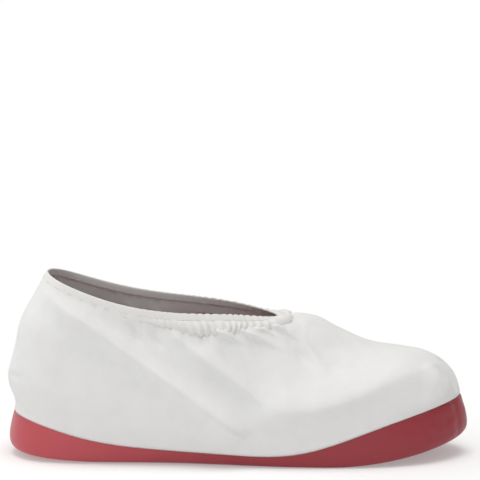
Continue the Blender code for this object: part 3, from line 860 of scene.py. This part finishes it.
def make_sole(material):
    """The red sole: its tread, its side, the rounded edge of its rim and its inside."""
    count = SOLE_COLUMNS
    places = round_steps(count)
    plan, rises, faces = make_tread(tread_edge(places)[:, :2])
    tread = np.column_stack([plan, floor_height(plan[:, 0]) + rises])
    rows = []
    for climb in np.linspace(0, 1, SOLE_SIDE_ROWS + 1)[1:]:
        climbs = np.full(count, climb)
        row = sole_side(places, climbs)
        ripple = wave(row, *SOLE_WAVE)
        ripple += wave(row, *TOE_WAVE) * smooth_step(row[:, 0], *TOE_WAVE_START)
        share = 1 - np.abs(1 - places % 2)
        ripple -= CREASE_DEPTH * np.exp(-(((share - CREASE_PLACE) / CREASE_REACH) ** 2))
        ripple *= smooth_step(climb, *SOLE_WAVE_START)
        if climb == 1:
            ripple -= RIM_ROUND
        rows.append(row + outward(sole_side, places, climbs) * ripple[:, None])
    top = np.full(count, 1.0)
    rim = sole_side(places, top)
    inwards = level(outward(sole_side, places, top))
    for depth, lift in RIM_PROFILE:
        rows.append(rim - inwards * RIM_WALL * depth + (0, 0, RIM_ROUND * lift))
    for climb in INSIDE_CLIMBS:
        rows.append(inside_sole(places, np.full(count, climb), 0.0))
    rows[-1][:, 2] = floor_height(rows[-1][:, 0]) + SOLE_FLOOR
    first = len(tread)
    points = np.concatenate([tread, *rows])
    column = np.arange(count)
    after = (column + 1) % count
    faces += np.stack([column, after, first + after, first + column], axis=-1).tolist()
    faces += [[first + corner for corner in face] for face in ring_faces(len(rows), count)]
    last = len(points) - count
    for near in range(count // 2):
        far = count - near
        corners = (last + near, last + near + 1, last + far - 1, last + far % count)
        faces.append(tuple(dict.fromkeys(corners)))
    piece = add_piece("sole_rubber", points, faces, material, "red_rubber", "sole")
    piece.data.set_sharp_from_angle(angle=SOLE_SHARP_ANGLE)


def upper_sheet(columns, rows, depth):
    """Rows of points of the upper, a depth in from its outer face, from the tuck to the hem."""
    places = round_steps(columns)
    sheet = []
    for climb in TUCK_CLIMBS:
        climbs = np.full(columns, climb)
        sheet.append(inside_sole(places, climbs, PIECE_GAP + depth))
    ladder = edge_ladder(places)
    _, square = edge_slant(places)
    _, seat = read_ladder(ladder, (CASING_HEIGHT - HEM_OVERLAP) / square)
    shares = 1 - (1 - np.linspace(0, 1, rows + 1)[1:]) ** ROW_CROWDING
    climbs = (seat * shares[:, None]).ravel()
    all_places = np.tile(places, rows)
    climb_steps, _, down = ladder
    paths = [np.interp(-seat[k] * shares, -climb_steps, down[:, k]) for k in range(columns)]
    below = (np.array(paths) * square[:, None]).T.ravel()
    faces = upper_face(all_places, climbs, below)
    faces -= outward(wall_surface, all_places, climbs) * depth
    return sheet + list(faces.reshape(rows, columns, 3))


def make_upper(material):
    """The white upper, a thin shell from inside the sole's rim to under the hem."""
    outer = upper_sheet(UPPER_COLUMNS, UPPER_ROWS, 0.0)
    inner = upper_sheet(LINING_COLUMNS, LINING_ROWS, FABRIC_WALL)
    points = np.concatenate(outer + inner)
    faces = ring_faces(len(outer), UPPER_COLUMNS)
    first_inner = len(outer) * UPPER_COLUMNS
    for corners in ring_faces(len(inner), LINING_COLUMNS):
        faces.append([first_inner + corner for corner in corners[::-1]])
    last_outer = first_inner - UPPER_COLUMNS
    last_inner = len(points) - LINING_COLUMNS
    for outside, inside, turn in ((0, first_inner, 1), (last_outer, last_inner, -1)):
        for k in range(LINING_COLUMNS):
            left, right = inside + k, inside + (k + 1) % LINING_COLUMNS
            a, b, c = (outside + (2 * k + step) % UPPER_COLUMNS for step in range(3))
            for corners in ((left, b, a), (left, right, b), (right, c, b)):
                faces.append(corners[::turn])
    add_piece("upper_fabric", points, faces, material, "white_fabric", "upper")


def edge_slant(places):
    """How lines square to the opening's edge cross the lines round_at: places passed for each
    unit of climb, and the share of a line's length that counts as distance from the edge."""
    edge = np.ones(len(places))
    around = wall_surface(places + SLANT_PLACE, edge) - wall_surface(places - SLANT_PLACE, edge)
    climbing = (wall_surface(places, edge) - wall_surface(places, edge - SLANT_CLIMB)) / SLANT_CLIMB
    ahead = unit(around)
    leaning = (climbing * ahead).sum(axis=-1)
    places_passed = -leaning / (np.linalg.norm(around, axis=-1) / (2 * SLANT_PLACE))
    square = np.linalg.norm(climbing - leaning[:, None] * ahead, axis=-1)
    return places_passed, square / np.linalg.norm(climbing, axis=-1)


def edge_ladder(places, slant=0.0):
    """Climbs from the opening's edge down, the places there, and the distance below the edge."""
    climbs = np.linspace(1, 0, LADDER_STEPS + 1)
    spots = places + slant * (climbs[:, None] - 1)
    path = np.array([wall_surface(row, np.full(len(row), climb)) for row, climb in zip(spots, climbs)])
    steps = np.linalg.norm(np.diff(path, axis=0), axis=-1)
    return climbs, spots, np.vstack([np.zeros(len(places)), np.cumsum(steps, axis=0)])


def read_ladder(ladder, distance):
    """The place and the climb at a distance below the opening's edge on each line of a ladder."""
    climbs, spots, down = ladder
    climb = np.array([np.interp(distance[k], down[:, k], climbs) for k in range(len(distance))])
    return spots[0] + (spots[1] - spots[0]) * (1 - climb) * (len(climbs) - 1), climb


def hem_points(places, ladder, distance, out):
    """Points of the hem from their distance below its edge and out from the upper's face."""
    spots, climb = read_ladder(ladder, np.maximum(distance, 0))
    normal = outward(wall_surface, spots, np.minimum(climb, HEM_NORMAL_CLIMB))
    top, under = (wall_surface(places, np.full(len(places), at)) for at in (1.0, HEM_UPWARD_CLIMB))
    points = wall_surface(spots, climb) - unit(top - under) * np.minimum(distance, 0)[:, None]
    return points + normal * (out - hem_draw(places))[:, None]


def make_casing(material):
    """The hem's casing: a flat band puckered by the elastic inside it."""
    places = round_steps(HEM_COLUMNS)
    ladder = edge_ladder(places, edge_slant(places)[0])
    _, stand_out, depth, _ = read_gathers(places)
    half_height, half_wall = CASING_HEIGHT / 2, CASING_WALL / 2
    rows = []
    for angle in np.linspace(0, 2 * math.pi, CASING_POINTS, endpoint=False):
        lift, side = math.sin(angle), math.cos(angle)
        square_lift = math.copysign(abs(lift) ** CASING_SQUARE, lift)
        square_side = math.copysign(abs(side) ** CASING_SQUARE, side)
        distance = half_height - half_height * square_lift
        phase = gather_phase(places, distance)
        pucker = (crest(phase, PUCKER_SHARPNESS) - PUCKER_MIDDLE) * gather_size(phase, *PUCKER_SIZE)
        edge = pucker * stand_out * PUCKER_EDGE * max(lift, 0)
        fullness = CASING_FULLNESS - CASING_TAPER * lift
        proud = CASING_PROUD - half_wall + half_wall * square_side * fullness
        out = proud + pucker * side * (PUCKER_HEIGHT + PUCKER_DEPTH * depth)
        rows.append(hem_points(places, ladder, distance - edge, out))
    faces = ring_faces(len(rows), len(places), closed=True)
    add_piece("hem_casing", np.concatenate(rows), faces, material, "hem_fabric", "elastic_hem")


def make_gathers(material):
    """The gathers under the casing: nearly flat at the heel, a ruffled roll round the throat."""
    places = round_steps(HEM_COLUMNS)
    ladder = edge_ladder(places, edge_slant(places)[0])
    reach_down, stand_out, depth, _ = read_gathers(places)
    sections = []
    top = CASING_HEIGHT - ROLL_TUCK
    for share in np.linspace(0, 1, ROLL_POINTS):
        distance = top + (reach_down + ROLL_TUCK) * share
        phase = gather_phase(places, distance)
        lobe = crest(phase, LOBE_SHARPNESS)
        size = gather_size(phase, *ROLL_SIZE)
        bulge = math.sin(math.pi * share) ** ROLL_FULLNESS
        out = ROLL_OUT + (stand_out * size - depth * (1 - lobe)) * bulge
        scallop = SIZE_SCALLOP[0] * (size - SIZE_SCALLOP[1]) + LOBE_SCALLOP[0] * (lobe - LOBE_SCALLOP[1])
        sections.append(hem_points(places, ladder, distance + reach_down * share * scallop, out))
    for share in np.linspace(1, 0, ROLL_POINTS // 2)[1:-1]:
        distance = top + (reach_down * ROLL_BACK_REACH + ROLL_TUCK) * share
        sections.append(hem_points(places, ladder, distance, np.full(len(places), -ROLL_BACK_DEPTH)))
    faces = ring_faces(len(sections), len(places), closed=True)
    add_piece("hem_gathers", np.concatenate(sections[::-1]), faces, material, "hem_fabric")


def make_stitches(material):
    """Thread stitches: a running row outside, along the casing's foot, and a zigzag row inside."""
    points, faces = [], []

    def add_thread(a, b):
        """A stitch between two points, a rod that is thinner at its ends."""
        along = (b - a) / np.linalg.norm(b - a)
        side = np.cross(along, (0, 0, 1.0))
        side /= np.linalg.norm(side)
        other = np.cross(side, along)
        first = len(points)
        for share, size in THREAD_PROFILE:
            for turn in np.arange(THREAD_SIDES) * 2 * math.pi / THREAD_SIDES:
                sway = side * math.cos(turn) + other * math.sin(turn)
                points.append(a + (b - a) * share + sway * THREAD_RADIUS * size)
        last = len(points) - THREAD_SIDES
        for low in range(first, last, THREAD_SIDES):
            high = low + THREAD_SIDES
            for turn in range(THREAD_SIDES):
                after = (turn + 1) % THREAD_SIDES
                faces.append((low + turn, high + turn, high + after, low + after))
        faces.append(tuple(range(first, first + THREAD_SIDES)))
        faces.append(tuple(reversed(range(last, last + THREAD_SIDES))))

    fine = round_steps(RUN_STEPS)
    run, whole = opening_run(fine)
    count = round(whole / STITCH_PITCH / 2) * 2
    starts = np.interp(np.arange(count) * whole / count, run, fine)
    stops = np.interp((np.arange(count) + STITCH_SHARE) * whole / count, run, fine)
    foot = np.full(count, CASING_HEIGHT - STITCH_UP)
    out = np.full(count, CASING_PROUD * STITCH_STAND)
    begins = hem_points(starts, edge_ladder(starts, edge_slant(starts)[0]), foot, out)
    ends = hem_points(stops, edge_ladder(stops, edge_slant(stops)[0]), foot, out)
    for a, b in zip(begins, ends):
        add_thread(a, b)
    odd = np.arange(count) % 2 == 1
    zig = np.where(odd, CASING_HEIGHT + ZIGZAG_DOWN, CASING_HEIGHT - ZIGZAG_UP)
    depth = np.where(odd, -FABRIC_WALL - ZIGZAG_LOW_GAP, CASING_PROUD - CASING_WALL - ZIGZAG_HIGH_GAP)
    spots = hem_points(starts, edge_ladder(starts, edge_slant(starts)[0]), zig, depth)
    for a, b in zip(spots, np.roll(spots, -1, axis=0)):
        add_thread(a, b)
    add_piece("hem_stitching", points, faces, material, "hem_fabric")


def new_material(name):
    """A new material, with its nodes, its links and its surface shader."""
    material = bpy.data.materials.new(name)
    material.use_nodes = True
    nodes, links = material.node_tree.nodes, material.node_tree.links
    return material, nodes, links, nodes["Principled BSDF"]


def set_inputs(node, values):
    """Sets a node's sockets by their names."""
    for name, value in values.items():
        node.inputs[name].default_value = value


def add_noise(nodes, links, coordinates, scale, detail, roughness, stretch=None):
    """A noise texture over the object's own coordinates, in metres."""
    noise = nodes.new("ShaderNodeTexNoise")
    set_inputs(noise, {"Scale": scale, "Detail": detail, "Roughness": roughness})
    if stretch:
        mapping = nodes.new("ShaderNodeMapping")
        mapping.inputs["Scale"].default_value = stretch
        links.new(coordinates.outputs["Object"], mapping.inputs["Vector"])
        links.new(mapping.outputs["Vector"], noise.inputs["Vector"])
    else:
        links.new(coordinates.outputs["Object"], noise.inputs["Vector"])
    return noise.outputs["Fac"]


def mix_colours(nodes, links, share, low, high, start=0.3, end=0.7):
    """A colour between two, by a share from a texture that runs from start to end."""
    ramp = nodes.new("ShaderNodeValToRGB")
    ramp.color_ramp.elements[0].position = start
    ramp.color_ramp.elements[0].color = (*low, 1)
    ramp.color_ramp.elements[1].position = end
    ramp.color_ramp.elements[1].color = (*high, 1)
    links.new(share, ramp.inputs["Fac"])
    return ramp.outputs["Color"]


def add_bump(nodes, links, heights, normal_input):
    """Bumps laid over each other. heights lists a texture's value and its height in metres."""
    below = None
    for value, height in heights:
        bump = nodes.new("ShaderNodeBump")
        set_inputs(bump, {"Strength": 1.0, "Distance": height})
        links.new(value, bump.inputs["Height"])
        if below:
            links.new(below, bump.inputs["Normal"])
        below = bump.outputs["Normal"]
    links.new(below, normal_input)


def fabric_material(name, light, dark):
    """Matt nonwoven: pressed fibres, a faint mottle and a soft sheen."""
    material, nodes, links, surface = new_material(name)
    coordinates = nodes.new("ShaderNodeTexCoord")
    clouds = add_noise(nodes, links, coordinates, *FABRIC_CLOUDS)
    fibres = add_noise(nodes, links, coordinates, *FABRIC_FIBRES)
    strands = add_noise(nodes, links, coordinates, *FABRIC_STRANDS)
    links.new(mix_colours(nodes, links, clouds, dark, light), surface.inputs["Base Color"])
    set_inputs(surface, FABRIC_FINISH)
    bumps = ((strands, STRAND_HEIGHT), (fibres, FIBRE_HEIGHT))
    add_bump(nodes, links, bumps, surface.inputs["Normal"])
    return material


def rubber_material():
    """Satin moulded rubber with a faint grain, slightly uneven gloss and painted light: lighter at the
    heel, darker towards the toe.
    """
    material, nodes, links, surface = new_material("red rubber")
    coordinates = nodes.new("ShaderNodeTexCoord")
    clouds = add_noise(nodes, links, coordinates, *RUBBER_CLOUDS)
    grain = add_noise(nodes, links, coordinates, *RUBBER_GRAIN)
    ripple = add_noise(nodes, links, coordinates, *RUBBER_RIPPLE)
    split = nodes.new("ShaderNodeSeparateXYZ")
    links.new(coordinates.outputs["Object"], split.inputs["Vector"])
    # Painted light and shade: the colour fades along X from the lit heel to the shaded toe
    along = nodes.new("ShaderNodeMapRange")
    along.interpolation_type = "SMOOTHSTEP"
    set_inputs(along, {"From Min": RUBBER_SHADE_FADE[0], "From Max": RUBBER_SHADE_FADE[1]})
    links.new(split.outputs["X"], along.inputs["Value"])
    share = nodes.new("ShaderNodeMath")
    share.operation = "MULTIPLY_ADD"
    share.inputs[1].default_value = RUBBER_MOTTLE
    links.new(clouds, share.inputs[0])
    links.new(along.outputs["Result"], share.inputs[2])
    colour = mix_colours(nodes, links, share.outputs["Value"], RUBBER_LIT_HEEL, RUBBER_SHADED_TOE, 0.0, 1.0)
    links.new(colour, surface.inputs["Base Color"])
    rough = nodes.new("ShaderNodeMapRange")
    set_inputs(rough, {"To Min": RUBBER_ROUGHNESS[0], "To Max": RUBBER_ROUGHNESS[1]})
    links.new(clouds, rough.inputs["Value"])
    links.new(rough.outputs["Result"], surface.inputs["Roughness"])
    set_inputs(surface, {"Specular IOR Level": RUBBER_SPECULAR})
    bumps = ((ripple, RIPPLE_HEIGHT), (grain, GRAIN_HEIGHT))
    add_bump(nodes, links, bumps, surface.inputs["Normal"])
    return material


def add_camera():
    """The photograph's view: level, from the near side and a little above."""
    camera = add_object("camera", bpy.data.cameras.new("camera"))
    back = Vector((0, -math.cos(VIEW_PITCH), math.sin(VIEW_PITCH))) * VIEW_DISTANCE
    camera.location = Vector(VIEW_AIM) + back
    camera.rotation_euler = (math.pi / 2 - VIEW_PITCH, 0, 0)
    camera.data.sensor_width = 36.0
    camera.data.lens = PHOTO_SCALE * VIEW_DISTANCE / PHOTO_SIZE * camera.data.sensor_width
    camera.data.clip_end = 50.0
    bpy.context.scene.camera = camera


def add_studio():
    """A pale floor that glows faintly, a sky brighter on the heel's side, and the two soft suns."""
    mesh = bpy.data.meshes.new("floor")
    corners = [(x * FLOOR_REACH, y * FLOOR_REACH, 0) for x, y in ((-1, -1), (1, -1), (1, 1), (-1, 1))]
    mesh.from_pydata(corners, [], [(0, 1, 2, 3)])
    floor = add_object("floor", mesh)
    material, _, _, surface = new_material("pale floor")
    set_inputs(surface, FLOOR_FINISH)
    mesh.materials.append(material)
    world = bpy.data.worlds.new("studio")
    world.use_nodes = True
    nodes, links = world.node_tree.nodes, world.node_tree.links
    coordinates = nodes.new("ShaderNodeTexCoord")
    split = nodes.new("ShaderNodeSeparateXYZ")
    links.new(coordinates.outputs["Generated"], split.inputs["Vector"])
    grade = nodes.new("ShaderNodeMapRange")
    set_inputs(grade, {"From Min": -1.0, "To Min": SKY_STRENGTH[0], "To Max": SKY_STRENGTH[1]})
    links.new(split.outputs["X"], grade.inputs["Value"])
    set_inputs(nodes["Background"], {"Color": (*SKY_COLOUR, 1)})
    links.new(grade.outputs["Result"], nodes["Background"].inputs["Strength"])
    bpy.context.scene.world = world
    for name, strength, softness, source, colour in SUNS:
        light = bpy.data.lights.new(name, "SUN")
        light.energy = strength
        light.angle = math.radians(softness)
        light.color = colour
        sun = add_object(name, light)
        sun.rotation_euler = Vector(source).to_track_quat("Z", "Y").to_euler()
    settings = bpy.context.scene.view_settings
    settings.view_transform = "Standard"
    settings.look = "None"
    settings.exposure = 0.0
    settings.gamma = 1.0


def main():
    """Makes the pieces with their materials, the camera and the studio."""
    rubber = rubber_material()
    fabric = fabric_material("white nonwoven", *WHITE_NONWOVEN)
    hem_fabric = fabric_material("hem nonwoven", *HEM_NONWOVEN)
    thread = fabric_material("white thread", *WHITE_THREAD)
    make_sole(rubber)
    make_upper(fabric)
    make_casing(hem_fabric)
    make_gathers(hem_fabric)
    make_stitches(thread)
    add_camera()
    add_studio()


main()
